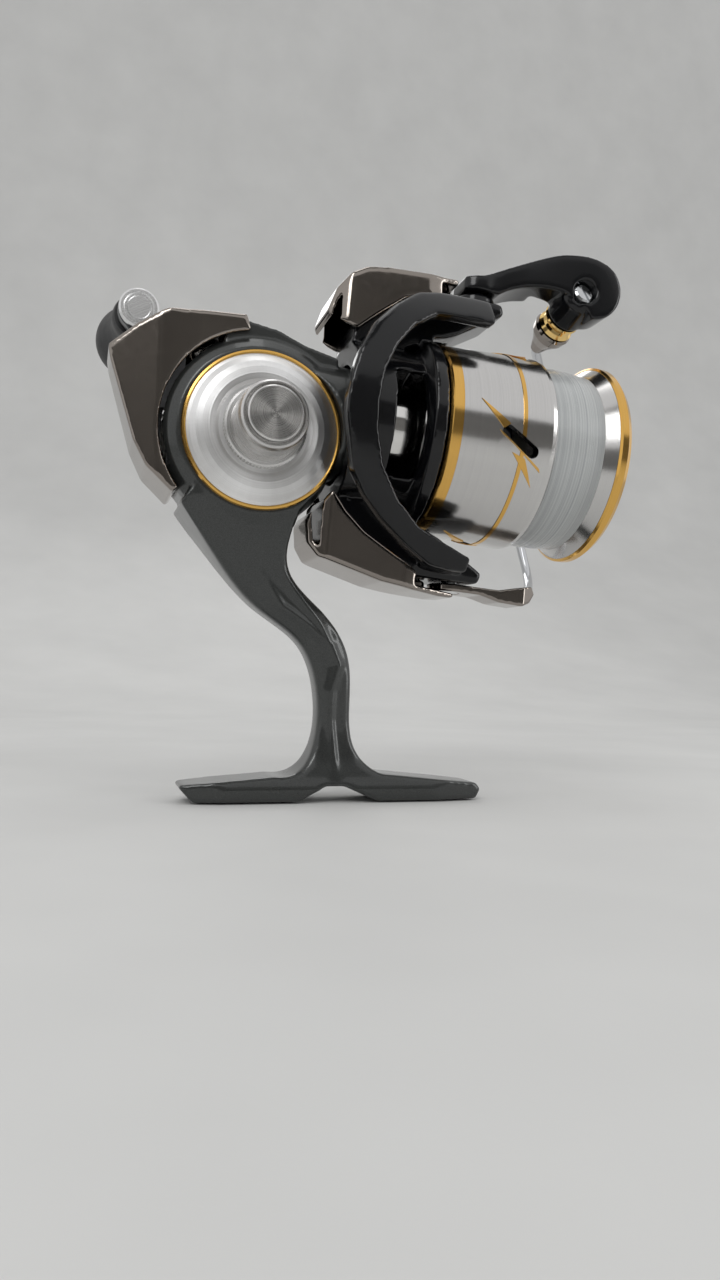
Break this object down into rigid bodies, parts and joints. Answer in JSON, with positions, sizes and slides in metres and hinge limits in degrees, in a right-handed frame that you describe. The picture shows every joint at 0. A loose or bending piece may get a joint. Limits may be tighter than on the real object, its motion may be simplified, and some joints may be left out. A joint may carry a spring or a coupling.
{
  "type": "spinning reel",
  "caption": "Front-drag spinning fishing reel with a crank handle, geared rotor, folding bail, line roller and a spool that strokes in and out, on a rod foot.",
  "frame": {"origin": "centre of the foot's underside, where it lies on the rod's reel seat", "axes": "+X forward towards the spool and rod tip, +Y towards the handle, +Z from the foot up to the body"},
  "size_m": [0.1179, 0.1074, 0.1291],
  "materials": {
    "gunmetal_body": "satin gunmetal paint",
    "smoke_chrome": "smoke tinted mirror plating",
    "turned_aluminium": "turned, concentric brushing",
    "gold_anodised": "gold anodised",
    "bright_steel": "polished steel",
    "brass": "machined brass",
    "polished_sleeve": "polished",
    "black_rubber": "matte",
    "cast_zinc": "fine cast grey metal",
    "dark_arm": "satin black paint",
    "knob_black": "soft satin",
    "white_polymer": "moulded acetal",
    "gloss_black": "deep gloss",
    "wire_chrome": "polished stainless wire",
    "gold_roller": "polished gold plating",
    "satin_spool": "satin bright",
    "nylon_line": "translucent wound line",
    "black_polymer": "moulded",
    "carbon_fibre": "woven friction washers"
  },
  "bodies": {
    "frame": {"body_frame": "gunmetal_body", "side_plate": "turned_aluminium", "side_plate_ring": "gold_anodised", "handle_cap": "turned_aluminium", "rear_cover": "smoke_chrome", "rear_cover_screws": "bright_steel", "guide_rod": "bright_steel", "pinion_front_bearing": "bright_steel", "pinion_rear_bush": "brass", "drive_bearings": "bright_steel", "clutch_sleeve": "polished_sleeve", "clutch_screws": "bright_steel", "roller_clutch": "bright_steel", "clutch_rollers": "bright_steel", "clutch_seal": "black_rubber"},
    "drive": {"drive_gear": "cast_zinc", "drive_shaft": "bright_steel", "oscillation_pinion": "cast_zinc", "handle_shaft": "bright_steel", "handle_collar": "turned_aluminium", "handle_arm": "dark_arm", "knob_pin": "turned_aluminium"},
    "knob": {"knob_grip": "knob_black", "knob_bearings": "bright_steel", "knob_cap": "turned_aluminium"},
    "oscillator": {"oscillation_gear": "white_polymer"},
    "rotor": {"rotor": "gloss_black", "pinion_gear": "brass", "clutch_inner": "bright_steel", "rotor_nut": "brass", "shaft_bearing": "bright_steel", "arm_cover_upper": "smoke_chrome", "arm_cover_lower": "smoke_chrome", "arm_cover_screws": "bright_steel", "bail_spring": "bright_steel", "bail_pivots": "bright_steel"},
    "bail": {"bail_arm": "gloss_black", "roller_screw": "bright_steel", "bail_wire": "wire_chrome", "wire_end": "smoke_chrome", "bail_holder": "smoke_chrome"},
    "roller": {"line_roller": "gold_roller", "roller_bearing": "bright_steel"},
    "shaft": {"main_shaft": "bright_steel", "slider_block": "cast_zinc", "slider_screw": "bright_steel", "click_gear": "white_polymer", "drag_metal_washers": "bright_steel"},
    "spool": {"spool_body": "satin_spool", "spool_rear_ring": "gold_anodised", "spool_mid_ring": "gold_anodised", "spool_lip": "gold_anodised", "fishing_line": "nylon_line", "line_clip": "black_polymer", "spool_bearing": "bright_steel", "drag_friction_washers": "carbon_fibre", "drag_retainer": "bright_steel"},
    "drag": {"drag_knob": "turned_aluminium", "drag_nut": "brass", "drag_spring": "bright_steel"}
  },
  "joints": [
    {"name": "handle_turn", "type": "hinge", "parent": "frame", "child": "drive", "pos_m": [-0.01738, 0, 0.0759], "axis": [0, 1, 0], "continuous": true},
    {"name": "handle_knob_spin", "type": "hinge", "parent": "drive", "child": "knob", "pos_m": [-0.03981, 0, 0.11879], "axis": [0, 1, 0], "continuous": true},
    {"name": "oscillation_gear_spin", "type": "hinge", "parent": "frame", "child": "oscillator", "pos_m": [-0.02985, 0, 0.07677], "axis": [0, 1, 0], "continuous": true},
    {"name": "rotor_spin", "type": "hinge", "parent": "frame", "child": "rotor", "pos_m": [0, 0, 0.0808], "axis": [0.9976, 0, -0.0698], "continuous": true},
    {"name": "bail_swing", "type": "hinge", "parent": "rotor", "child": "bail", "pos_m": [0.02993, 0, 0.07871], "axis": [-0.0698, 0, -0.9976], "range_deg": [0, 100]},
    {"name": "line_roller_spin", "type": "hinge", "parent": "bail", "child": "roller", "pos_m": [0.0544, 0.001, 0.11099], "axis": [0.1033, -0.9367, 0.3345], "continuous": true},
    {"name": "spool_stroke", "type": "slide", "parent": "frame", "child": "shaft", "axis": [0.9976, 0, -0.0698], "range_m": [0, 0.012]},
    {"name": "spool_spin", "type": "hinge", "parent": "shaft", "child": "spool", "pos_m": [0, 0, 0.0808], "axis": [0.9976, 0, -0.0698], "continuous": true},
    {"name": "drag_knob_turn", "type": "hinge", "parent": "shaft", "child": "drag", "pos_m": [0, 0, 0.0808], "axis": [0.9976, 0, -0.0698], "range_deg": [-360, 360]}
  ],
  "couplings": [
    {"joint": "rotor_spin", "follows": "handle_turn", "ratio": 5.2},
    {"joint": "oscillation_gear_spin", "follows": "handle_turn", "ratio": -0.66667}
  ]
}
